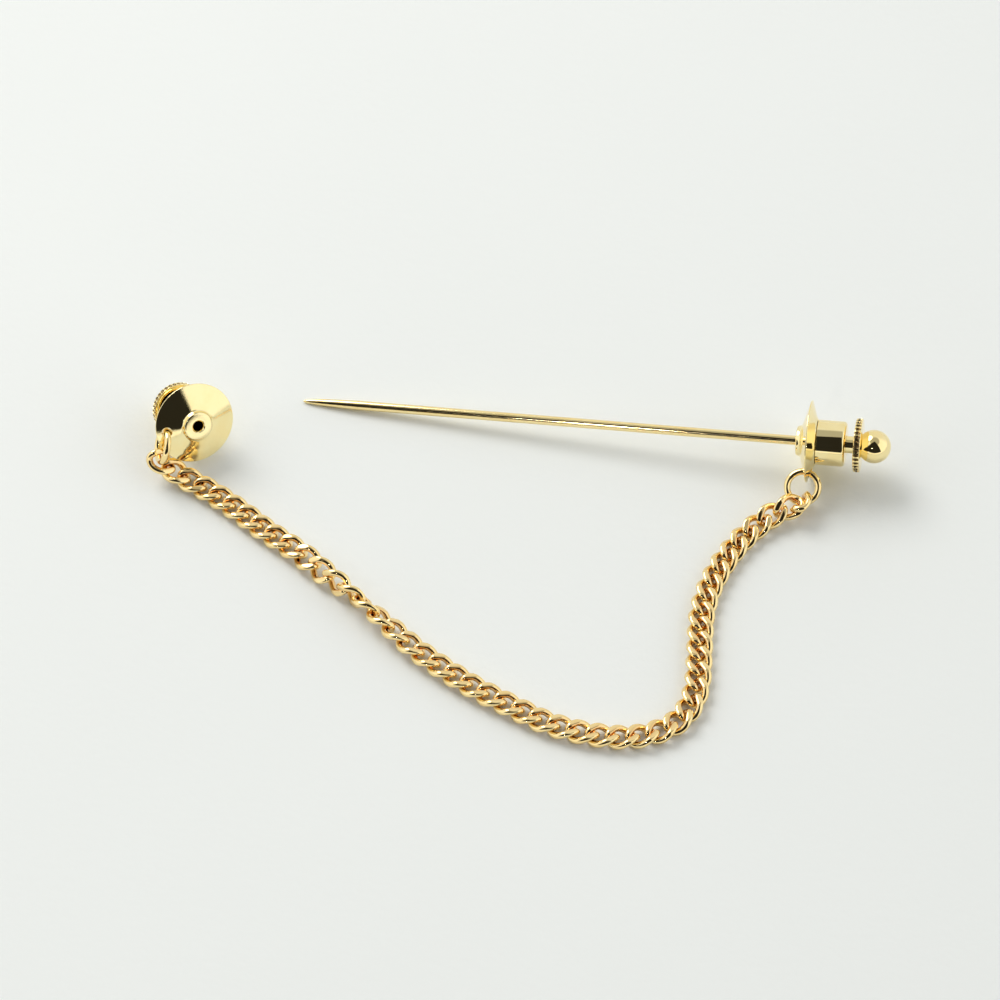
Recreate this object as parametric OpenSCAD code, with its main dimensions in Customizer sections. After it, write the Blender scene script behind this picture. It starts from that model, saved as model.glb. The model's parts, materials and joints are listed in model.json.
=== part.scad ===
// Lapel chain: a long stick pin locked in one round clutch, a second clutch of the same
// pattern that takes the point of the pin, and a curb chain between the two on jump rings.
// It lies on a flat surface. Millimetres, Z up, the surface is Z = 0 and the origin is the
// middle of the bottom of the whole thing.

/* [Clutch base] */
// Radius of the round base over its rim
rim_r = 5.15; // [4.8:0.05:6]
// Radius of the rounded rim's edge
rim_edge_r = 0.1; // [0.07:0.01:0.15]
// Height of the dished front face at the hub
dish_h = 0.95; // [0.7:0.05:1.3]
// Extra height of the flare round the hub
flare_h = 0.4; // [0.2:0.05:0.6]
// Radius of the hub
hub_r = 1.85; // [1.6:0.05:2.2]
// Radius of the hub's rounded edge
hub_edge_r = 0.22; // [0.1:0.02:0.35]
// Depth of the base behind its rim, as far as the housing
back_h = 1; // [0.8:0.05:1.4]
// Distance of the jump ring's hole from the rim
hole_inset = 1.3; // [1.15:0.05:1.5]
// Radius of the jump ring's hole
hole_r = 0.66; // [0.6:0.02:0.75]

/* [Clutch housing] */
// Radius of the housing
housing_r = 2.83; // [2.6:0.05:3.3]
// Length of the housing
housing_l = 3.6; // [3.5:0.1:5]
// Side wall of the housing
housing_wall = 0.5; // [0.35:0.05:0.7]
// End wall of the housing
housing_end = 0.7; // [0.6:0.05:0.9]
// Rounding of the housing's back edge
housing_edge_r = 0.45; // [0.2:0.05:0.55]
// Length of the base's collar inside the housing
register_l = 0.4; // [0.3:0.05:0.6]

/* [Knob] */
// Radius of the stem between the housing and the flange
stem_r = 1.08; // [0.9:0.02:1.3]
// Radius of the milled flange
flange_r = 3.35; // [3:0.05:3.8]
// Thickness of the milled flange
flange_t = 0.85; // [0.7:0.05:1.2]
// Notches round the flange
flange_notches = 36; // [24:2:44]
// Radius of a notch
notch_r = 0.13; // [0.08:0.01:0.16]
// Radius of the ball
ball_r = 2.1; // [1.8:0.05:2.4]
// Depth of the ball in the flange
ball_sink = 0.55; // [0.3:0.05:0.7]
// Gap between the housing and the flange when nothing is in the clutch
stem_gap = 0.6; // [0.5:0.05:0.9]
// Travel of the knob when it is pulled
knob_travel = 1.1; // [0.8:0.05:1.2]
// How far the locked pin holds the knob out
locked_lift = 0.5; // [0.3:0.05:0.6]
// Thickness of the stem's collar inside the housing
collar_t = 0.45; // [0.35:0.05:0.5]

/* [Needle] */
// Radius of the needle
needle_r = 0.6; // [0.5:0.02:0.7]
// Length of the needle in front of the base's rim
needle_l = 64.4; // [60:0.2:66]
// Length of the needle's taper
taper_l = 7; // [4:0.5:9]
// Radius of the needle's blunt point
point_r = 0.15; // [0.1:0.01:0.25]

/* [Jump rings] */
// Mean radius of a jump ring
ring_r = 1.95; // [1.85:0.05:2.05]
// Radius of a jump ring's wire
ring_wire_r = 0.42; // [0.34:0.02:0.44]

/* [Chain] */
// Radius of the link wire
link_wire_r = 0.34; // [0.28:0.01:0.37]
// Half length of a link, to the middle of its wire
link_half_l = 1.78; // [1.72:0.02:1.82]
// Half width of a link, to the middle of its wire
link_half_w = 1.3; // [1.22:0.02:1.36]
// Twist of each end of a link about its length, in degrees
link_twist = 48; // [40:1:52]
// Mean play between two links along the chain
link_play = 0.46; // [0.36:0.02:0.56]
// Rings of points round a link
link_stations = 14; // [10:1:14]
// Sides of the link wire
link_sides = 6; // [5:1:6]

/* [Clearances] */
// Clearance round the needle in the bore
bore_clearance = 0.08; // [0.05:0.01:0.12]
// Clearance round the stem in the housing
stem_clearance = 0.05; // [0.03:0.01:0.1]
// Clearance of the base's collar in the housing
register_clearance = 0.02; // [0.01:0.01:0.05]
// Clearance of the stem's collar in the housing
collar_clearance = 0.1; // [0.06:0.01:0.2]
// Clearance between a jump ring and the link laid under it
lay_clearance = 0.16; // [0.12:0.02:0.3]
// Height of the lying links above the surface
rest_clearance = 0.02; // [0:0.01:0.05]

/* [Lay on the surface] */
// Place of the right base, to the right
right_x = 36.2; // [35:0.1:37]
// Place of the right base, to the back
right_y = 16; // [15:0.1:17]
// How far the chain bows to the front of the line between its two ends
chain_bow = 36.45; // [34:0.05:38]
// Turn of the needle away from the X axis, in degrees
right_turn = -9; // [-12:0.5:-6]
// Lean of the right jump ring towards the front of its base, in degrees
right_ring_lean = 9; // [0:1:10]
// Place of the left base, to the right
left_x = -40.6; // [-42:0.1:-39]
// Place of the left base, to the back
left_y = 18.4; // [17:0.1:20]
// Direction that the left base faces in plan, in degrees from the X axis
left_turn = -62; // [-66:1:-58]
// Tilt of the left base's face above the horizon, in degrees
left_tilt = 29.5; // [28:0.5:32]
// Turn of the left base's ring hole above the horizon, in degrees
left_hole_turn = 6; // [4:1:12]
// Turn of the left jump ring below the horizon, in degrees
left_ring_turn = 62; // [58:1:70]
// Twist of the left jump ring about its own drop, in degrees
left_ring_twist = 5; // [0:1:8]

/* [Hidden] */
$fn = 48;
up = [0, 0, 1];

// Powers of the two flares of the base, and the steps that draw them
front_power = 5;
back_power = 12;
back_flare = 0.18;
dish_steps = 14;
arc_steps = 6;
notch_sides = 16;
ring_sides = 24;
past = 1; // how far a cutter reaches past what it cuts

bore_r = needle_r + bore_clearance;
bore_chamfer = 0.18;
hub_h = rim_edge_r + dish_h + flare_h + hub_edge_r * 0.7;
cavity_r = housing_r - housing_wall;
stem_bore_r = stem_r + stem_clearance;
housing_back = back_h + housing_l;
cavity_back = housing_back - housing_end;
end_play = 0.05;
flange_edge_r = 0.12;
flange_front = housing_back + stem_gap;
flange_back = flange_front + flange_t;
ball_centre = flange_back + ball_r - ball_sink;
collar_back = cavity_back - knob_travel - end_play;
collar_front = collar_back - collar_t;
needle_end = collar_front + locked_lift - end_play;
hole_centre_r = rim_r - hole_inset;
ring_hang_l = hole_centre_r + 2 * ring_r;

function unit(v) = v / norm(v);
function heading(turn, rise) = [cos(rise) * cos(turn), cos(rise) * sin(turn), sin(rise)];
function blend(a, b, angle) = a * cos(angle) + b * sin(angle);

// Bullet taper of the needle: radius and distance from the rim's plane at each step
taper_power = 0.3;
point_from = 30; // turn at which the rounded point meets the taper, in degrees
taper_steps = 12;
taper = [for (k = [0 : taper_steps - 1])
    let (left = pow(1 - k / taper_steps, 1.5))
    [max(point_r, needle_r * pow(left, taper_power)), needle_l - taper_l * left]];

// Right clutch: the rim and the point of the needle rest on the surface
right_rise = min([for (t = taper) atan2(rim_r - t[0], t[1])]);
right_axis = heading(right_turn, right_rise);
right_at = [right_x, right_y, rim_r * cos(right_rise)];
right_side = unit(cross(right_axis, up));
right_down = cross(right_axis, right_side);
right_ring_low = 2 * link_wire_r + ring_wire_r + lay_clearance;
right_drop = (right_at[2] - right_ring_low) / ring_hang_l / -right_down[2];
right_hole_way = unit(right_down * right_drop + right_side * sqrt(1 - right_drop * right_drop));
right_hole = right_at + right_hole_way * hole_centre_r;
right_ring_way = blend(right_hole_way, -right_axis, right_ring_lean);
right_ring_at = right_hole + right_ring_way * ring_r;
right_ring_axis = unit(cross(right_axis, right_hole_way));

// Left clutch: the ball and the flange rest on the surface, the base faces up and forward
left_axis = heading(left_turn, left_tilt);
left_rest_flange = (flange_back - flange_edge_r) * sin(left_tilt)
                 + (flange_r - flange_edge_r) * cos(left_tilt) + flange_edge_r;
left_at = [left_x, left_y, max(left_rest_flange, ball_centre * sin(left_tilt) + ball_r)];
left_side = unit(cross(left_axis, up));
left_up = cross(left_side, left_axis);
left_hole_way = blend(left_side, left_up, left_hole_turn);
left_hole = left_at + left_hole_way * hole_centre_r;
left_ring_way = blend(left_side, left_up, -left_ring_turn);
left_ring_at = left_hole + left_ring_way * ring_r;
left_ring_across = unit(cross(left_ring_way, left_axis));
left_ring_front = blend(left_axis, left_ring_across, left_ring_twist);
left_ring_axis = unit(cross(left_ring_front, left_ring_way));

// Low ends of the two jump rings, which the chain hangs from
left_low = left_ring_at + left_ring_way * ring_r;
right_low = right_ring_at + right_ring_way * ring_r;

ROUTE_BOW = 36.45; // bow of the route's rows as they stand

// Chain: the middle links lie along this route, chosen by hand.
// Columns: share of the way from the left low end to the right one, then from there the place
// to the right and to the back, lift off the surface, roll in degrees, closeness of the links
ROUTE = [
    [0, 2.019, -0.44, 0.48, 0.2, 1.035], [0, 3.924, -1.557, 0.03, 2, 1.035],
    [0, 6.494, -3.221, 0, 0.9, 1.035], [0.04, 6.805, -5.823, 0, 0.6, 1.035],
    [0.09, 6.318, -8.675, 0, 0.2, 1.035], [0.14, 6.131, -11.527, 0, 5, 0.966],
    [0.19, 5.444, -14.68, 0, 43.8, 0.915], [0.24, 5.557, -18.332, 0, 101.7, 0.915],
    [0.3, 4.872, -22.035, 0, 147.5, 0.915], [0.35, 4.285, -25.187, 0, 167, 0.964],
    [0.4, 4.098, -28.04, 0, 172.5, 0.99], [0.44, 4.809, -30.641, 0, 173.6, 0.99],
    [0.49, 5.022, -32.894, 0, 174.1, 0.99], [0.54, 5.435, -35.046, 0, 174.3, 0.99],
    [0.59, 6.048, -36.199, 0, 174.5, 0.99], [0.64, 6.661, -36.451, 0, 174.7, 0.99],
    [0.68, 7.471, -35.353, 0, 174.9, 0.99], [0.72, 7.282, -32.855, 0, 175.2, 1.005],
    [0.76, 5.692, -28.657, 0, 176.2, 1.06], [0.82, 1.408, -22.559, 0, 177.4, 1.08],
    [0.86, -1.382, -17.561, 0, 178.2, 1.08], [0.91, -4.269, -13.114, 0, 178.7, 1.08],
    [0.95, -5.458, -8.816, 0, 179.2, 1.08], [1, -6.645, -4.768, 0, 181, 1.065],
    [1, -3.645, -2.299, 0.34, 196, 1.05], [1, -1.343, -1.323, 0.67, 220.9, 1.05]
];
route = [for (r = ROUTE) let (at = left_low + (right_low - left_low) * r[0])
    [at[0] + r[1], at[1] + r[2] * chain_bow / ROUTE_BOW, r[3], r[4], r[5]]];
ROUTE_STEPS = 12;

function row(i) = i < 0 ? 2 * route[0] - route[1]
                : i < len(route) ? route[i]
                : 2 * route[len(route) - 1] - route[len(route) - 2];
function spline(i, t) =
    (2 * row(i) + (row(i + 1) - row(i - 1)) * t
    + (2 * row(i - 1) - 5 * row(i) + 4 * row(i + 1) - row(i + 2)) * t * t
    + (3 * row(i) - row(i - 1) - 3 * row(i + 1) + row(i + 2)) * t * t * t) / 2;

function lay(row) = [row[0], row[1], row[2]];
function step_l(k) = norm(lay(path[k]) - lay(path[k - 1])) * path[k][4];
path = [for (k = [0 : (len(route) - 1) * ROUTE_STEPS])
    spline(floor(k / ROUTE_STEPS), k / ROUTE_STEPS - floor(k / ROUTE_STEPS))];
travel = [for (k = 0, s = 0; k < len(path); k = k + 1, s = s + (k < len(path) ? step_l(k) : 0)) s];
route_l = travel[len(travel) - 1];
pitch = 2 * (link_half_l - link_wire_r) - link_play;
route_links = round(route_l / pitch) + 1;

function along(s, column) =
    lookup(s, [for (k = [0 : len(path) - 1]) [travel[k], path[k][column]]]);

// Point of a link's centre line at an angle, before it is laid: an oval twisted about X
function oval(angle) =
    let (turn = -link_twist * cos(angle))
    [link_half_l * cos(angle),
     link_half_w * sin(angle) * cos(turn),
     link_half_w * sin(angle) * sin(turn)];
function station(i) = 360 * i / link_stations;

// Lowest height of a link below its centre, for the directions of its length and its width
function link_low(way, side) = min([for (i = [0 : link_stations - 1])
    oval(station(i)) * [way[2], side[2], cross(way, side)[2]]]) - link_wire_r;
function rest_height(roll) = rest_clearance - link_low([1, 0, 0], [0, cos(roll), sin(roll)]);

route_rows = [for (i = [0 : route_links - 1])
    let (s = route_l * i / (route_links - 1)) [for (column = [0 : 3]) along(s, column)]];
route_centres = [for (r = route_rows) [r[0], r[1], r[2] + rest_height(r[3])]];

// End links, each round the wire at the low end of its jump ring
first_link_at = left_low + [0.206, 0.263, -0.507];
first_link_way = unit([0.85, -0.067, -0.849]);
first_link_roll = -27.9;
first_link_flat = unit(cross(left_axis, first_link_way));
first_link_side = blend(first_link_flat, cross(first_link_way, first_link_flat), first_link_roll);
last_link_at = right_low + [0.342, -0.683, 0.541];
last_link_way = unit([-0.41, -1, 0.649]);
last_link_roll = 63;

// Row of a link: centre, direction of its length, direction of its width
function lying_side(way, roll) =
    let (side = unit(cross(up, way))) blend(side, cross(way, side), roll);
centres = concat([first_link_at], route_centres, [last_link_at]);
links = concat(
    [[first_link_at, first_link_way, first_link_side]],
    [for (i = [1 : route_links])
        let (way = unit(centres[i + 1] - centres[i - 1]),
             side = lying_side(way, route_rows[i - 1][3]),
             sunk = rest_clearance - centres[i][2] - link_low(way, side))
        [centres[i] + up * max(0, sunk), way, side]],
    [[last_link_at, last_link_way, lying_side(last_link_way, last_link_roll)]]);

function oval_way(i) = oval(station(i + 1)) - oval(station(i - 1));
function oval_out(i) =
    let (way = unit(oval_way(i)), p = oval(station(i))) unit(p - way * (p * way));
function wire_point(i, k) =
    let (out = oval_out(i), turn = 360 * k / link_sides)
    oval(station(i)) + blend(out, cross(unit(oval_way(i)), out), turn) * link_wire_r;
link_points = [for (i = [0 : link_stations - 1]) for (k = [0 : link_sides - 1]) wire_point(i, k)];
function link_index(i, k) = (i % link_stations) * link_sides + k % link_sides;
link_faces = [for (i = [0 : link_stations - 1]) for (k = [0 : link_sides - 1]) for (half = [0, 1])
    half == 0 ? [link_index(i, k), link_index(i + 1, k + 1), link_index(i, k + 1)]
              : [link_index(i, k), link_index(i + 1, k), link_index(i + 1, k + 1)]];

// Puts a piece at a place, with its Z along one direction and its X along another
module place(at, x, z) {
    y = cross(z, x);
    multmatrix([[x[0], y[0], z[0], at[0]], [x[1], y[1], z[1], at[1]], [x[2], y[2], z[2], at[2]]])
        children();
}

module on_right() { place(right_at, right_hole_way, -right_axis) children(); }
module on_left() { place(left_at, left_hole_way, left_axis) children(); }

function arc(centre, r, from, to) = [for (k = [0 : arc_steps])
    let (a = from + (to - from) * k / arc_steps) [centre[0] + r * cos(a), centre[1] + r * sin(a)]];

// Half section of the base: rim, dished front with its flared hub, and the back cone
function front_z(u) = rim_edge_r + dish_h * u + flare_h * pow(u, front_power);
function back_z(u) = -rim_edge_r
    - (back_h - rim_edge_r) * ((1 - back_flare) * u + back_flare * pow(u, back_power));
function across(u, from, to) = from + (to - from) * u;
base_section = concat(
    arc([rim_r - rim_edge_r, 0], rim_edge_r, -90, 90),
    [for (k = [1 : dish_steps]) let (u = k / dish_steps)
        [across(u, rim_r - rim_edge_r, hub_r), front_z(u)]],
    arc([hub_r - hub_edge_r, hub_h - hub_edge_r], hub_edge_r, 0, 90),
    [[bore_r, hub_h], [bore_r, -back_h], [housing_r, -back_h]],
    [for (k = [1 : dish_steps]) let (u = 1 - k / dish_steps)
        [across(u, rim_r - rim_edge_r, housing_r), back_z(u)]]);

// Round dished base: hub in front, cone behind, and a collar that enters the housing
module clutch_base() {
    difference() {
        union() {
            rotate_extrude() polygon(base_section);
            translate([0, 0, -back_h - register_l])
                cylinder(r = cavity_r - register_clearance, h = register_l + back_h / 2);
        }
        translate([0, 0, -back_h - register_l - past])
            cylinder(r = bore_r, h = hub_h + back_h + register_l + 2 * past);
        translate([0, 0, hub_h - bore_chamfer])
            cylinder(r1 = bore_r, r2 = bore_r + 2 * bore_chamfer, h = 2 * bore_chamfer);
        translate([hole_centre_r, 0, -back_h]) cylinder(r = hole_r, h = 2 * back_h);
    }
}

// Barrel behind the base, open to the front, with the stem's bore in its end wall
module clutch_housing() {
    difference() {
        rotate_extrude() polygon(concat(
            [[0, -back_h], [0, -housing_back]],
            arc([housing_r - housing_edge_r, housing_edge_r - housing_back], housing_edge_r, -90, 0),
            [[housing_r, -back_h]]));
        translate([0, 0, -cavity_back]) cylinder(r = cavity_r, h = housing_l);
        translate([0, 0, -housing_back - past]) cylinder(r = stem_bore_r, h = housing_end + 2 * past);
    }
}

// Stem with its inner collar, milled flange and ball
module clutch_knob() {
    difference() {
        union() {
            translate([0, 0, -flange_back])
                cylinder(r = stem_r, h = flange_back - collar_front);
            translate([0, 0, -collar_back]) cylinder(r = cavity_r - collar_clearance, h = collar_t);
            rotate_extrude() polygon(concat(
                [[0, -flange_back]],
                arc([flange_r - flange_edge_r, flange_edge_r - flange_back], flange_edge_r, -90, 0),
                arc([flange_r - flange_edge_r, -flange_edge_r - flange_front], flange_edge_r, 0, 90),
                [[0, -flange_front]]));
            translate([0, 0, -ball_centre]) sphere(r = ball_r);
        }
        for (k = [0 : flange_notches - 1]) rotate([0, 0, 360 * k / flange_notches])
            translate([flange_r, 0, -flange_back - past])
                cylinder(r = notch_r, h = flange_t + 2 * past, $fn = notch_sides);
    }
}

module wire_ring() {
    rotate_extrude() translate([ring_r, 0]) circle(r = ring_wire_r, $fn = ring_sides);
}

// The needle, from its end inside the clutch to its bullet point
module needle() {
    color("gold") on_right() rotate_extrude() polygon(concat(
        [[0, -needle_end], [needle_r, -needle_end]], taper,
        arc([0, needle_l], point_r, point_from, 90)));
}

module right_base() { color("gold") on_right() clutch_base(); }
module right_housing() { color("gold") on_right() clutch_housing(); }
module right_knob() { color("gold") on_right() translate([0, 0, -locked_lift]) clutch_knob(); }
module left_base() { color("gold") on_left() clutch_base(); }
module left_housing() { color("gold") on_left() clutch_housing(); }
module left_knob() { color("gold") on_left() clutch_knob(); }

module right_jump_ring() {
    color("gold") place(right_ring_at, right_ring_way, right_ring_axis) wire_ring();
}
module left_jump_ring() {
    color("gold") place(left_ring_at, left_ring_way, left_ring_axis) wire_ring();
}

module chain() {
    color("gold") for (l = links) place(l[0], l[1], cross(l[1], l[2])) polyhedron(link_points, link_faces);
}

needle();
right_base();
right_housing();
right_knob();
left_base();
left_housing();
left_knob();
right_jump_ring();
left_jump_ring();
chain();
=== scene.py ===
import json
from math import cos, pi, radians, sin, sqrt

import bmesh
import bpy
import numpy as np
from mathutils import Matrix, Vector


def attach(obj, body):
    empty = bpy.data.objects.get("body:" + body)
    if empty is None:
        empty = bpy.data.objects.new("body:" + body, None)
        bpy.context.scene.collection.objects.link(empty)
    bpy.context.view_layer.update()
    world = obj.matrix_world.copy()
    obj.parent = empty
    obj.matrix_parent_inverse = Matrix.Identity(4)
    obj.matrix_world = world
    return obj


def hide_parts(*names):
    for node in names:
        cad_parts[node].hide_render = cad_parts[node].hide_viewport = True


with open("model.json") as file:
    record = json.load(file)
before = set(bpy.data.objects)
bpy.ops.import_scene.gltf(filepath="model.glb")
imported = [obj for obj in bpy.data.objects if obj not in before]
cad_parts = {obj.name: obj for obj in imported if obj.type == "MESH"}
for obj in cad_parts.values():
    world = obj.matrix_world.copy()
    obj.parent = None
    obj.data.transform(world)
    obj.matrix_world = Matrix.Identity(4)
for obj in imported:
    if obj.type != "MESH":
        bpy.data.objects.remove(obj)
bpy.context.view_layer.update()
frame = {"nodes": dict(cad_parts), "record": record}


# TABLE, LIGHT AND CAMERA
# The lapel chain lies on a sheet of pale paper with a fine tooth. A broad soft lamp stands behind it
# to the left, and the room is bright behind and beside it and dark toward the front.
def node_tree(owner):
    owner.use_nodes = True
    owner.node_tree.nodes.clear()
    return owner.node_tree


def add(tree, kind, inputs=(), **settings):
    """One node, with its settings and with each input set to a value or joined to another socket."""
    made = tree.nodes.new(kind)
    for key, value in settings.items():
        setattr(made, key, value)
    for key, value in dict(inputs).items():
        if isinstance(value, bpy.types.NodeSocket):
            tree.links.new(value, made.inputs[key])
        else:
            made.inputs[key].default_value = value
    return made


def maths(tree, operation, *values):
    return add(tree, "ShaderNodeMath", dict(enumerate(values)), operation=operation).outputs[0]


def eased(tree, value, start, end):
    span = {"Value": value, "From Min": start, "From Max": end, "To Min": 0.0, "To Max": 1.0}
    return add(tree, "ShaderNodeMapRange", span, interpolation_type="SMOOTHSTEP").outputs["Result"]


def mixed(tree, share, first, second):
    """A colour between two others, all of the second where the share is 1."""
    mix = add(tree, "ShaderNodeMix", {"Factor": share, "A": first, "B": second}, data_type="RGBA")
    return mix.outputs["Result"]


def paper_sheet():
    paper = bpy.data.materials.new("pale_paper")
    tree = node_tree(paper)
    where = add(tree, "ShaderNodeTexCoord").outputs["Object"]
    fine = {"Vector": where, "Scale": 900.0, "Detail": 5.0, "Roughness": 0.6}
    tooth = add(tree, "ShaderNodeTexNoise", fine).outputs["Fac"]
    cloud = add(tree, "ShaderNodeTexNoise", {"Vector": where, "Scale": 14.0, "Detail": 2.0}).outputs["Fac"]
    white = mixed(tree, cloud, (0.88, 0.905, 0.89, 1), (0.91, 0.935, 0.92, 1))
    bump = add(tree, "ShaderNodeBump", {"Strength": 0.35, "Distance": 0.0001, "Height": tooth})
    matt = {"Base Color": white, "Roughness": 0.9, "Specular IOR Level": 0.2, "Normal": bump.outputs[0]}
    surface = add(tree, "ShaderNodeBsdfPrincipled", matt)
    add(tree, "ShaderNodeOutputMaterial", {"Surface": surface.outputs[0]})
    half = 1.6
    below_the_part = 0.00001
    mesh = bpy.data.meshes.new("paper_sheet")
    corners = [(-half, -half, 0), (half, -half, 0), (half, half, 0), (-half, half, 0)]
    mesh.from_pydata(corners, [], [(0, 1, 2, 3)])
    mesh.materials.append(paper)
    sheet = bpy.data.objects.new("paper_sheet", mesh)
    sheet.location.z = -below_the_part
    bpy.context.scene.collection.objects.link(sheet)


paper_sheet()


def room_light():
    """Bright walls beside and behind, grey overhead, and dark in front from just above the table up."""
    world = bpy.data.worlds.new("room")
    bpy.context.scene.world = world
    tree = node_tree(world)
    way = add(tree, "ShaderNodeTexCoord").outputs["Generated"]
    axes = add(tree, "ShaderNodeSeparateXYZ", {0: way}).outputs
    right_of = maths(tree, "MULTIPLY", axes[0], 1.11)
    left_of = maths(tree, "MULTIPLY", axes[0], -0.5)
    aside = maths(tree, "MAXIMUM", right_of, left_of)
    ahead = maths(tree, "SUBTRACT", maths(tree, "MULTIPLY", axes[1], -1.0), aside)
    front = eased(tree, ahead, 0.0, 0.03)
    above_table = eased(tree, axes[2], 0.1, 0.16)
    dark = maths(tree, "MULTIPLY", front, above_table)
    overhead = eased(tree, axes[2], 0.82, 0.9)
    behind = eased(tree, axes[1], 0.1, 0.6)
    walls = mixed(tree, behind, (1.12, 1.12, 1.1, 1), (0.85, 0.86, 0.85, 1))
    bright = mixed(tree, overhead, walls, (0.46, 0.46, 0.44, 1))
    tone = mixed(tree, dark, bright, (0.022, 0.021, 0.019, 1))
    sky = add(tree, "ShaderNodeBackground", {"Color": tone, "Strength": 1.0})
    add(tree, "ShaderNodeOutputWorld", {"Surface": sky.outputs[0]})


room_light()


def soft_lamp(name, place, size, power, colour):
    """A round lamp that faces the part."""
    lamp = bpy.data.lights.new(name, "AREA")
    lamp.shape, lamp.size, lamp.energy, lamp.color = "DISK", size, power, colour
    body = bpy.data.objects.new(name, lamp)
    body.location = place
    body.rotation_mode = "QUATERNION"
    body.rotation_quaternion = (-Vector(place)).to_track_quat("-Z", "Y")
    bpy.context.scene.collection.objects.link(body)


soft_lamp("window_behind", (-0.36, 0.42, 0.6), 0.5, 2.9, (1, 0.985, 0.96))
soft_lamp("small_lamp_in_front", (-0.28, -0.68, 0.64), 0.03, 0.3, (1, 0.98, 0.95))


def camera():
    lens = bpy.data.cameras.new("camera")
    lens.lens, lens.sensor_width, lens.clip_start, lens.clip_end = 162, 36, 0.01, 20
    seen_from = bpy.data.objects.new("camera", lens)
    height, distance, target = radians(54), 0.5625, Vector((-0.0024, 0.0107, 0))
    seen_from.location = target + distance * Vector((0, -cos(height), sin(height)))
    seen_from.rotation_euler = (pi / 2 - height, 0, 0)
    bpy.context.scene.collection.objects.link(seen_from)
    bpy.context.scene.camera = seen_from


camera()
bpy.context.scene.view_settings.view_transform = "Standard"


# CLUTCH BASES
# Each clutch starts with a round base, turned from brass and plated: a rolled rim, a dished front that
# flares up to a rounded hub with the pin's bore in it, a cone behind, and a small hole for the jump ring.
rim_r, rim_edge_r, dish_h, flare_h = 0.00515, 0.0001, 0.00095, 0.0004
hub_r, hub_edge_r, bore_r, bore_chamfer = 0.00185, 0.00022, 0.00068, 0.00018
back_h, register_l, register_r = 0.001, 0.0004, 0.00231
hub_h = rim_edge_r + dish_h + flare_h + 0.7 * hub_edge_r
hole_centre_r, hole_r = 0.00385, 0.00066
ring_r, ring_wire_r = 0.00195, 0.00042
housing_r = 0.00283
shank_front = 0.0574  # how far the needle runs straight in front of the rim
right_ring_low = 0.00126  # height of the right ring's low end
left_hole_turn = radians(6)


def seat(at, out, face):
    """Where a turned part sits: its own Z along face, its own X along out."""
    side = face.cross(out)
    rows = [(out[i], side[i], face[i], at[i]) for i in range(3)]
    return Matrix(rows + [(0, 0, 0, 1)])


def clutch_seats():
    """The two clutches' seats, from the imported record's joints and mounts."""
    up = Vector((0, 0, 1))
    pull = {j["name"]: Vector(j["axis"]) for j in frame["record"]["behaviour"]["joints"]}
    place = {m["name"]: Vector(m["pos_m"]) for m in frame["record"]["mounts"]}
    axis = pull["right_knob_pull"].normalized()
    at = place["needle_shank"] + axis * (shank_front + hub_h) / 2
    side = axis.cross(up).normalized()
    down = axis.cross(side)
    drop = (at.z - right_ring_low) / (hole_centre_r + 2 * ring_r) / -down.z
    out = (down * drop + side * sqrt(1 - drop * drop)).normalized()
    right = seat(at, out, -axis)
    face = -pull["left_knob_pull"].normalized()
    at = place["left_pin_bore"] - face * ((hub_h - bore_chamfer - back_h - register_l) / 2)
    side = face.cross(up).normalized()
    out = (side * cos(left_hole_turn) + side.cross(face) * sin(left_hole_turn)).normalized()
    return {"right": right, "left": seat(at, out, face)}


seats = clutch_seats()


def curve(centre, radius, start, end, steps=8):
    """Points of an arc in a turned part's half section: distance from the axis, height."""
    return [(centre[0] + radius * cos(radians(start + (end - start) * k / steps)),
             centre[1] + radius * sin(radians(start + (end - start) * k / steps))) for k in range(steps + 1)]


def solid_part(name, points, faces, at=Matrix.Identity(4)):
    """An object from points and faces, welded, with every face turned outward."""
    mesh = bpy.data.meshes.new(name)
    mesh.from_pydata(points, [], faces)
    shell = bmesh.new()
    shell.from_mesh(mesh)
    bmesh.ops.remove_doubles(shell, verts=shell.verts, dist=1e-7)
    bmesh.ops.recalc_face_normals(shell, faces=shell.faces)
    shell.to_mesh(mesh)
    shell.free()
    part = bpy.data.objects.new(name, mesh)
    bpy.context.scene.collection.objects.link(part)
    part.matrix_world = at
    return part


def turned(name, section, at, sides=192, closed=True, notch=None):
    """A part turned on a lathe from its half section. notch(turn, r, z) may take some of the radius away."""
    points, faces, rows = [], [], len(section)
    for k in range(sides):
        turn = 2 * pi * k / sides
        for r, z in section:
            cut = r - notch(turn, r, z) if notch else r
            points.append((cut * cos(turn), cut * sin(turn), z))
    for k in range(sides):
        for i in range(rows if closed else rows - 1):
            a, b = k * rows, (k + 1) % sides * rows
            faces.append((a + i, b + i, b + (i + 1) % rows, a + (i + 1) % rows))
    return solid_part(name, points, faces, at)


def finish_mesh(part, material, body, node, angle=32):
    """Smooths a part, gives it its metal, and puts it in place of its solid."""
    mesh = part.data
    mesh.polygons.foreach_set("use_smooth", [True] * len(mesh.polygons))
    mesh.set_sharp_from_angle(angle=radians(angle))
    part.modifiers.new("even_shading", "WEIGHTED_NORMAL").keep_sharp = True
    mesh.materials.clear()
    mesh.materials.append(material)
    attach(part, body)
    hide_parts(node)


def socket(group, name, kind, way="INPUT", default=None):
    made = group.interface.new_socket(name, in_out=way, socket_type="NodeSocket" + kind)
    if default is not None:
        made.default_value = default


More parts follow.
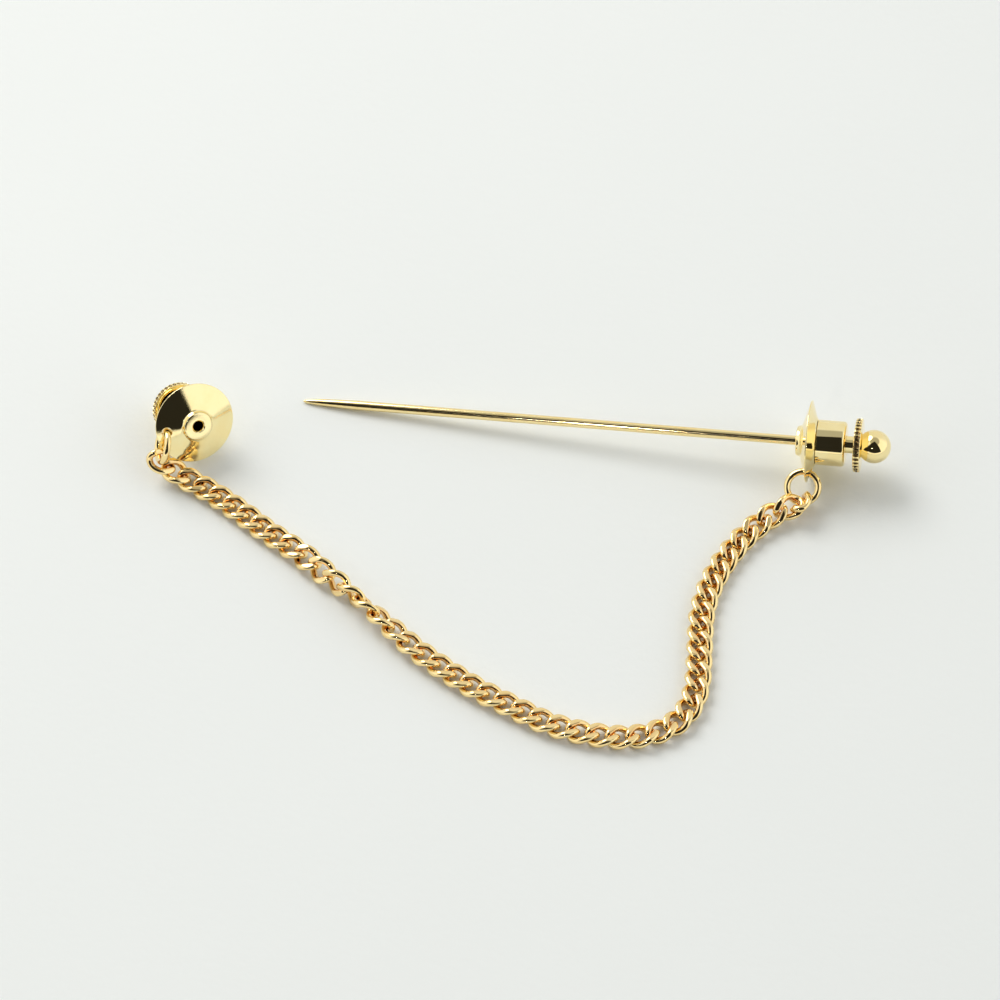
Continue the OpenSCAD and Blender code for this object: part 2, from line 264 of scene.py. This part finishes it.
def plate_tone_group():
    """Gold plate isn't one colour: it is a little redder in patches where it is thin."""
    group = bpy.data.node_groups.new("plate_tone", "ShaderNodeTree")
    socket(group, "Where", "Vector")
    socket(group, "Fresh", "Color", default=(1.0, 0.78, 0.42, 1))
    socket(group, "Warm", "Color", default=(0.95, 0.64, 0.28, 1))
    socket(group, "Patches", "Float", default=260.0)
    socket(group, "Amount", "Float", default=0.5)
    socket(group, "Colour", "Color", "OUTPUT")
    given = group.nodes.new("NodeGroupInput").outputs
    cloud = add(group, "ShaderNodeTexNoise",
                {"Vector": given["Where"], "Scale": given["Patches"], "Detail": 3.0, "Roughness": 0.55})
    share = maths(group, "MULTIPLY", eased(group, cloud.outputs["Fac"], 0.38, 0.66), given["Amount"])
    add(group, "NodeGroupOutput", {"Colour": mixed(group, share, given["Fresh"], given["Warm"])})
    return group


def hairlines_group():
    """Fine marks of polishing. Lines run outward from the axis, or round it where Round is 1."""
    group = bpy.data.node_groups.new("hairlines", "ShaderNodeTree")
    socket(group, "Where", "Vector")
    socket(group, "Outward Count", "Float", default=60.0)
    socket(group, "Round Scale", "Float", default=6000.0)
    socket(group, "Round", "Float", default=0.0)
    socket(group, "Height", "Float", "OUTPUT")
    given = group.nodes.new("NodeGroupInput").outputs
    axes = add(group, "ShaderNodeSeparateXYZ", {0: given["Where"]}).outputs
    squares = [maths(group, "MULTIPLY", axes[i], axes[i]) for i in range(2)]
    radius = maths(group, "SQRT", maths(group, "ADD", *squares))
    flat = maths(group, "MAXIMUM", radius, 1e-6)
    turn_x, turn_y = maths(group, "DIVIDE", axes[0], flat), maths(group, "DIVIDE", axes[1], flat)
    slow = maths(group, "MULTIPLY", maths(group, "ADD", radius, axes[2]), 120.0)
    outward = add(group, "ShaderNodeCombineXYZ", {0: turn_x, 1: turn_y, 2: slow})
    drift = maths(group, "MULTIPLY", turn_x, 2e-5)
    run = add(group, "ShaderNodeCombineXYZ", {0: radius, 1: axes[2], 2: drift})
    spokes, rings = [
        add(group, "ShaderNodeTexNoise",
            {"Vector": way.outputs[0], "Scale": given[scale], "Detail": 4.0, "Roughness": 0.7}).outputs["Fac"]
        for way, scale in ((outward, "Outward Count"), (run, "Round Scale"))]
    lines = add(group, "ShaderNodeMix", {"Factor": given["Round"], "A": spokes, "B": rings})
    add(group, "NodeGroupOutput", {"Height": lines.outputs["Result"]})
    return group


def handling_group():
    """Wear from fingers: faint smears that dull the polish, and short scratches that lie every way."""
    group = bpy.data.node_groups.new("handling", "ShaderNodeTree")
    socket(group, "Where", "Vector")
    socket(group, "Polish", "Float", default=0.1)
    socket(group, "Smears", "Float", default=0.1)
    socket(group, "Roughness", "Float", "OUTPUT")
    socket(group, "Height", "Float", "OUTPUT")
    given = group.nodes.new("NodeGroupInput").outputs
    smear = add(group, "ShaderNodeTexNoise",
                {"Vector": given["Where"], "Scale": 420.0, "Detail": 4.0, "Distortion": 1.2})
    dulled = maths(group, "MULTIPLY", eased(group, smear.outputs["Fac"], 0.42, 0.72), given["Smears"])
    depth = 0.0
    for lie in ((0.3, 0.2, 0.5), (1.1, -0.4, 2.1), (-0.5, 0.9, 3.6)):
        drawn = add(group, "ShaderNodeMapping",
                    {"Vector": given["Where"], "Rotation": lie, "Scale": (300.0, 6000.0, 6000.0)})
        strands = add(group, "ShaderNodeTexNoise", {"Vector": drawn.outputs[0], "Scale": 1.0, "Detail": 1.0})
        depth = maths(group, "MAXIMUM", depth, eased(group, strands.outputs["Fac"], 0.68, 0.74))
    add(group, "NodeGroupOutput", {"Roughness": maths(group, "ADD", given["Polish"], dulled),
                                   "Height": maths(group, "SUBTRACT", 1.0, depth)})
    return group


plate_tone, hairlines, handling = plate_tone_group(), hairlines_group(), handling_group()


def use(tree, group, inputs):
    return add(tree, "ShaderNodeGroup", inputs, node_tree=group).outputs


def gold_plate(name, fresh, warm, patches, polish, smears, count, ring_scale, round_share, line_depth):
    """Plated brass with its own tone, polish and direction of hairlines."""
    scratch_depth = 0.0000002
    gold = bpy.data.materials.new(name)
    tree = node_tree(gold)
    where = add(tree, "ShaderNodeTexCoord").outputs["Object"]
    tone = use(tree, plate_tone,
               {"Where": where, "Fresh": (*fresh, 1), "Warm": (*warm, 1), "Patches": patches, "Amount": 0.55})
    worn = use(tree, handling, {"Where": where, "Polish": polish, "Smears": smears})
    lines = use(tree, hairlines,
                {"Where": where, "Outward Count": count, "Round Scale": ring_scale, "Round": round_share})
    brushed = {"Strength": 1.0, "Distance": line_depth, "Height": lines["Height"]}
    normal = add(tree, "ShaderNodeBump", brushed).outputs[0]
    scratched = {"Strength": 1.0, "Distance": scratch_depth, "Height": worn["Height"], "Normal": normal}
    normal = add(tree, "ShaderNodeBump", scratched).outputs[0]
    plate = {"Base Color": tone["Colour"], "Metallic": 1.0, "Roughness": worn["Roughness"], "Normal": normal}
    metal = add(tree, "ShaderNodeBsdfPrincipled", plate)
    add(tree, "ShaderNodeOutputMaterial", {"Surface": metal.outputs[0]})
    return gold


base_gold = gold_plate(
    "base_plate", fresh=(1.0, 0.86, 0.47), warm=(0.98, 0.79, 0.37), patches=300.0, polish=0.025,
    smears=0.03, count=46.0, ring_scale=5000.0, round_share=0.0, line_depth=0.0000025)


def base_section():
    steps, foot_power, back_power, back_flare = 36, 36, 12, 0.18
    rim_in = rim_r - rim_edge_r
    front, back = [], []
    for k in range(1, steps + 1):
        u = 1 - (1 - k / steps) ** 2
        front.append((rim_in + (hub_r - rim_in) * u, rim_edge_r + dish_h * u + flare_h * u ** foot_power))
        v = 1 - k / steps
        cone = (1 - back_flare) * v + back_flare * v ** back_power
        back.append((rim_in + (housing_r - rim_in) * v, -rim_edge_r - (back_h - rim_edge_r) * cone))
    collar = [(register_r, -back_h), (register_r, -back_h - register_l), (bore_r, -back_h - register_l)]
    mouth = [(bore_r + wide * bore_chamfer, hub_h - deep * bore_chamfer)
             for wide, deep in ((1, 0), (0.25, 0.75), (0, 1.2))]
    return (curve((rim_in, 0), rim_edge_r, -90, 90) + front
            + curve((hub_r - hub_edge_r, hub_h - hub_edge_r), hub_edge_r, 0, 90) + mouth
            + collar[::-1] + back)


def pierce(part, centre, radius):
    """Cuts the jump ring's hole through the part, square to its face."""
    reach, core, sides = 0.003, 1e-9, 64
    section = [(core, -reach), (radius, -reach), (radius, reach), (core, reach)]
    at = part.matrix_world @ Matrix.Translation((centre, 0, 0))
    drill = turned("drill", section, at, sides)
    cut = part.modifiers.new("hole", "BOOLEAN")
    cut.object, cut.operation, cut.solver = drill, "DIFFERENCE", "EXACT"
    bpy.context.view_layer.update()
    result = part.evaluated_get(bpy.context.evaluated_depsgraph_get())
    part.data = bpy.data.meshes.new_from_object(result)
    part.modifiers.clear()
    bpy.data.objects.remove(drill)


for hand in seats:
    base = turned(hand + "_dished_base", base_section(), seats[hand])
    pierce(base, hole_centre_r, hole_r)
    finish_mesh(base, base_gold, "pin_and_chain", hand + "_base")


# CLUTCH HOUSINGS
# Behind each base stands a plain barrel, closed at the back but for the stem's hole, with a rounded back
# edge. It is pressed on the base's collar, and the joint shows as a hair-thin seam.
housing_l, housing_wall, housing_end, housing_edge_r = 0.0036, 0.0005, 0.0007, 0.00045
housing_back = back_h + housing_l
stem_r, stem_clearance = 0.00108, 0.00005
seam = 0.00005
housing_gold = gold_plate(
    "housing_plate", fresh=(1.0, 0.85, 0.46), warm=(0.97, 0.77, 0.35), patches=340.0, polish=0.03,
    smears=0.03, count=40.0, ring_scale=5200.0, round_share=1.0, line_depth=0.0000004)
cavity_r, stem_hole_r = housing_r - housing_wall, stem_r + stem_clearance
housing_section = (
    [(housing_r - seam, -back_h), (cavity_r, -back_h), (cavity_r, housing_end - housing_back),
     (stem_hole_r, housing_end - housing_back), (stem_hole_r, -housing_back + seam),
     (stem_hole_r + stem_clearance, -housing_back)]
    + curve((housing_r - housing_edge_r, housing_edge_r - housing_back), housing_edge_r, -90, 0)
    + [(housing_r, -back_h - seam)])
for hand in seats:
    barrel = turned(hand + "_barrel", housing_section, seats[hand])
    finish_mesh(barrel, housing_gold, "pin_and_chain", hand + "_housing")


# KNOBS
# The knob that is pulled to let the pin go is one turned piece: a stem with a collar inside the barrel,
# a thin flange with a milled edge for the fingers, and a polished ball at the end.
flange_r, flange_t, flange_edge_r, notch_count, notch_r = 0.00335, 0.00085, 0.00012, 36, 0.00023
ball_r, ball_sink, stem_gap, collar_t = 0.0021, 0.00055, 0.0006, 0.00045
flange_front = housing_back + stem_gap
flange_back = flange_front + flange_t
ball_centre = flange_back + ball_r - ball_sink
knob_travel, end_play, locked_lift = 0.0011, 0.00005, 0.0005
collar_back = housing_back - housing_end - knob_travel - end_play
collar_front = collar_back - collar_t
collar_r = register_r - 0.00008
dimple_squash = 0.62  # under 1 makes a dimple longer across the flange's edge than along it


def milled(turn, r, z):
    """How deep the milling is there: a dimple at each notch, between the edge's two rounded corners."""
    near_edge = 0.0006
    if r < flange_r - near_edge or z > -flange_front or z < -flange_back:
        return 0.0
    pitch = 2 * pi / notch_count
    off = abs((turn + pitch / 2) % pitch - pitch / 2) * flange_r
    away = (-z - flange_front - flange_t / 2) * dimple_squash
    dimple = sqrt(max(notch_r ** 2 - off ** 2 - away ** 2, 0.0))
    return max(0.0, dimple - (flange_r - r))


def knob_section():
    meet = sqrt(ball_r ** 2 - (ball_centre - flange_back) ** 2)
    start = np.degrees(np.arctan2(ball_centre - flange_back, meet))
    rim_in = flange_r - flange_edge_r
    face_in, steps = rim_in - 0.0003, 12
    groove_out, groove_in, groove_low = meet + 0.00012, meet + 0.00003, 0.00004  # groove at the ball's foot
    edge = flange_t - 2 * flange_edge_r
    return ([(0, -collar_front), (collar_r, -collar_front), (collar_r, -collar_back), (stem_r, -collar_back),
             (stem_r, -flange_front), (stem_r + 0.0006, -flange_front), (face_in, -flange_front)]
            + curve((rim_in, -flange_edge_r - flange_front), flange_edge_r, 90, 0, 6)
            + [(flange_r, -flange_front - flange_edge_r - edge * k / steps) for k in range(1, steps)]
            + curve((rim_in, flange_edge_r - flange_back), flange_edge_r, 0, -90, 6)
            + [(face_in, -flange_back), (groove_out, -flange_back), (groove_in, -flange_back - groove_low)]
            + curve((0, -ball_centre), ball_r, start - 3, -90, 40))


def with_painted_shade(gold, name, tone, amount):
    """The same plate, with another tone painted where the mesh marks its hollows, as painted shade."""
    darker = gold.copy()
    darker.name = name
    tree = darker.node_tree
    metal = next(n for n in tree.nodes if n.type == "BSDF_PRINCIPLED")
    plate = metal.inputs["Base Color"].links[0].from_socket
    within = add(tree, "ShaderNodeAttribute", attribute_name="painted_shade_share").outputs["Fac"]
    # painted shade: the plate's colour is mixed toward the darker tone where the attribute marks a hollow
    dulled = mixed(tree, maths(tree, "MULTIPLY", within, amount), plate, tone)
    tree.links.new(dulled, metal.inputs["Base Color"])
    return darker


def mark_painted_shade(part, shares):
    """Writes how much painted shade each point of the mesh gets, from 0 to 1."""
    marks = part.data.attributes.new("painted_shade_share", "FLOAT", "POINT")
    marks.data.foreach_set("value", np.asarray(shares, np.float32))


def dimple_shares(part):
    """How far each point of the flange's edge lies down in a dimple, from 0 to 1."""
    near_edge, half_width, full_depth = 0.0004, 0.00034, 0.0001
    x, y, z = np.array([v.co for v in part.data.vertices]).T
    radius = np.hypot(x, y)
    on_edge = (radius > flange_r - near_edge) & (np.abs(-z - flange_front - flange_t / 2) < half_width)
    return np.where(on_edge, np.clip((flange_r - radius) / full_depth, 0, 1), 0)


polished_gold = gold_plate(
    "knob_plate", fresh=(1.0, 0.84, 0.44), warm=(0.96, 0.75, 0.33), patches=300.0, polish=0.03,
    smears=0.03, count=40.0, ring_scale=4200.0, round_share=1.0, line_depth=0.0000003)
# The milled dimples get a near-black colour as painted shade.
knob_gold = with_painted_shade(polished_gold, "knob_plate_with_painted_shade_in_dimples", (0.16, 0.09, 0.035, 1), amount=0.9)
for hand, body, lift in (("right", "right_knob", locked_lift), ("left", "left_knob", 0.0)):
    at = seats[hand] @ Matrix.Translation((0, 0, -lift))
    knob = turned(hand + "_pull_knob", knob_section(), at, sides=720, closed=False, notch=milled)
    mark_painted_shade(knob, dimple_shares(knob))
    finish_mesh(knob, knob_gold, body, hand + "_knob")


# NEEDLE
# The long pin is hard drawn wire, 1.2 mm thick, ground to a bullet point and polished along its length.
# It runs through the right base and is locked in the right clutch.
needle_r, needle_l, taper_l, point_r = 0.0006, 0.0644, 0.007, 0.00015
needle_end = collar_front + locked_lift - end_play
needle_bevel = 0.00005
needle_gold = gold_plate(
    "needle_plate", fresh=(1.0, 0.82, 0.42), warm=(0.95, 0.72, 0.31), patches=220.0, polish=0.06,
    smears=0.04, count=14.0, ring_scale=4000.0, round_share=0.0, line_depth=0.000001)


def needle_section():
    steps, shank_steps, closeness, taper_power = 40, 60, 1.5, 0.3
    straight = needle_l - taper_l + needle_end
    shank = [(needle_r, -needle_end + needle_bevel + straight * k / shank_steps) for k in range(shank_steps)]
    taper = []
    for k in range(steps):
        left = (1 - k / steps) ** closeness
        radius = needle_r * left ** taper_power
        if radius > point_r:
            taper.append((radius, needle_l - taper_l * left))
    point_sink = 0.00001
    point = curve((0, needle_l - point_sink), point_r, 20, 90)
    return [(0, -needle_end), (needle_r - needle_bevel, -needle_end)] + shank + taper + point


long_needle = turned("long_needle", needle_section(), seats["right"], sides=96, closed=False)
finish_mesh(long_needle, needle_gold, "pin_and_chain", "needle")


# JUMP RINGS
# A round wire ring hangs in the hole of each base and carries the end of the chain. It is bent from wire
# and closed by hand, so its two ends meet in a fine cut.
wire_gold = gold_plate(
    "wire_plate", fresh=(1.0, 0.79, 0.39), warm=(0.95, 0.68, 0.28), patches=500.0, polish=0.05,
    smears=0.05, count=10.0, ring_scale=3000.0, round_share=0.0, line_depth=0.0000006)


def ring_seat(node):
    """The ring's middle and axis, from the solid that it stands for."""
    points = np.array([v.co for v in frame["nodes"][node].data.vertices])
    points = np.unique(points.round(7), axis=0)
    middle = points.mean(0)
    ways = np.linalg.eigh(np.cov((points - middle).T))[1]
    return seat(Vector(middle), Vector(ways[:, 2]), Vector(ways[:, 0]))


def jump_ring(name, node, cut_at):
    around, across, cut_depth, cut_half = 144, 32, 0.00007, 0.0001
    points, faces = [], []
    for i in range(around):
        turn = 2 * pi * i / around
        off = abs((turn - cut_at + pi) % (2 * pi) - pi) * ring_r
        wire = ring_wire_r - cut_depth * max(0.0, 1 - off / cut_half)
        for k in range(across):
            a = 2 * pi * k / across
            r = ring_r + wire * cos(a)
            points.append((r * cos(turn), r * sin(turn), wire * sin(a)))
    for i in range(around):
        for k in range(across):
            a, b, n = i * across, (i + 1) % around * across, (k + 1) % across
            faces.append((a + k, b + k, b + n, a + n))
    ring = solid_part(name, points, faces, ring_seat(node))
    finish_mesh(ring, wire_gold, "pin_and_chain", node, angle=80)


jump_ring("right_wire_ring", "right_jump_ring", cut_at=2.3)
jump_ring("left_wire_ring", "left_jump_ring", cut_at=0.6)


# CHAIN
# Fifty curb links of round wire, linked through one another. Each is an oval with its ends twisted
# opposite ways and its faces pressed flat, and its colour is painted redder inside it as painted shade, for
# the light that bounces between the links. The chain rolls over once in its narrow stretch.
link_half_l, link_half_w, link_twist, link_wire_r = 0.00176, 0.00125, radians(48), 0.00043
link_face, link_soft = 0.00072, 0.12  # height of a pressed face, and what is left of the wire above it
# Colour of the painted shade inside each link, standing for light bounced between the links.
link_painted_shade_colour = (0.66, 0.3, 0.1, 1)


def link_seats():
    """Each link's middle and directions, from the solid links that the chain stands for."""
    mesh = frame["nodes"]["chain"].data
    points = np.array([v.co for v in mesh.vertices])
    _, first, welded = np.unique(points.round(6), axis=0, return_index=True, return_inverse=True)
    welded = welded.ravel()
    parent = list(range(len(first)))

    def root(i):
        while parent[i] != i:
            parent[i] = parent[parent[i]]
            i = parent[i]
        return i

    for edge in mesh.edges:
        a, b = root(int(welded[edge.vertices[0]])), root(int(welded[edge.vertices[1]]))
        parent[a] = b
    links = {}
    for i in range(len(first)):
        links.setdefault(root(i), []).append(points[first[i]])
    found = []
    for group in links.values():
        group = np.array(group)
        middle = group.mean(0)
        ways = np.linalg.eigh(np.cov((group - middle).T))[1]
        found.append((Vector(middle), Vector(ways[:, 2]), Vector(ways[:, 1])))
    return found


def curb_chain():
    around, across = 56, 16
    turns = np.arange(around) * 2 * pi / around
    twist = -link_twist * np.cos(turns)
    wide = link_half_w * np.sin(turns)
    line = np.stack([link_half_l * np.cos(turns), wide * np.cos(twist), wide * np.sin(twist)], 1)
    way = np.roll(line, -1, 0) - np.roll(line, 1, 0)
    way /= np.linalg.norm(way, axis=1)[:, None]
    out = line - way * (line * way).sum(1)[:, None]
    out /= np.linalg.norm(out, axis=1)[:, None]
    side = np.cross(way, out)
    a = np.arange(across) * 2 * pi / across
    round_wire = np.cos(a)[None, :, None] * out[:, None] + np.sin(a)[None, :, None] * side[:, None]
    tube = (line[:, None] + link_wire_r * round_wire).reshape(-1, 3)
    high = np.abs(tube[:, 2])
    pressed = np.where(high > link_face, link_face + (high - link_face) * link_soft, high)
    tube[:, 2] = np.sign(tube[:, 2]) * pressed
    # Painted shade: the redder colour is strongest on the wire's inner side and at the link's ends.
    facing_in = (0.5 - 0.5 * np.cos(a)[None, :]) ** 1.5
    inside = (facing_in * (0.55 + 0.45 * np.cos(turns)[:, None] ** 2)).ravel()
    ring = []
    for i in range(around):
        for k in range(across):
            here, there, n = i * across, (i + 1) % around * across, (k + 1) % across
            ring.append((here + k, there + k, there + n, here + n))
    points, faces = [], []
    for middle, along, flat in link_seats():
        turn = np.array([along, flat, along.cross(flat)])
        start = len(points)
        points += (tube @ turn + np.array(middle)).tolist()
        faces += [tuple(start + i for i in f) for f in ring]
    chain = solid_part("curb_links", points, faces)
    mark_painted_shade(chain, np.tile(inside, len(points) // len(inside)))
    chain_gold = with_painted_shade(wire_gold, "chain_plate", link_painted_shade_colour, amount=0.8)
    finish_mesh(chain, chain_gold, "pin_and_chain", "chain", angle=80)


curb_chain()
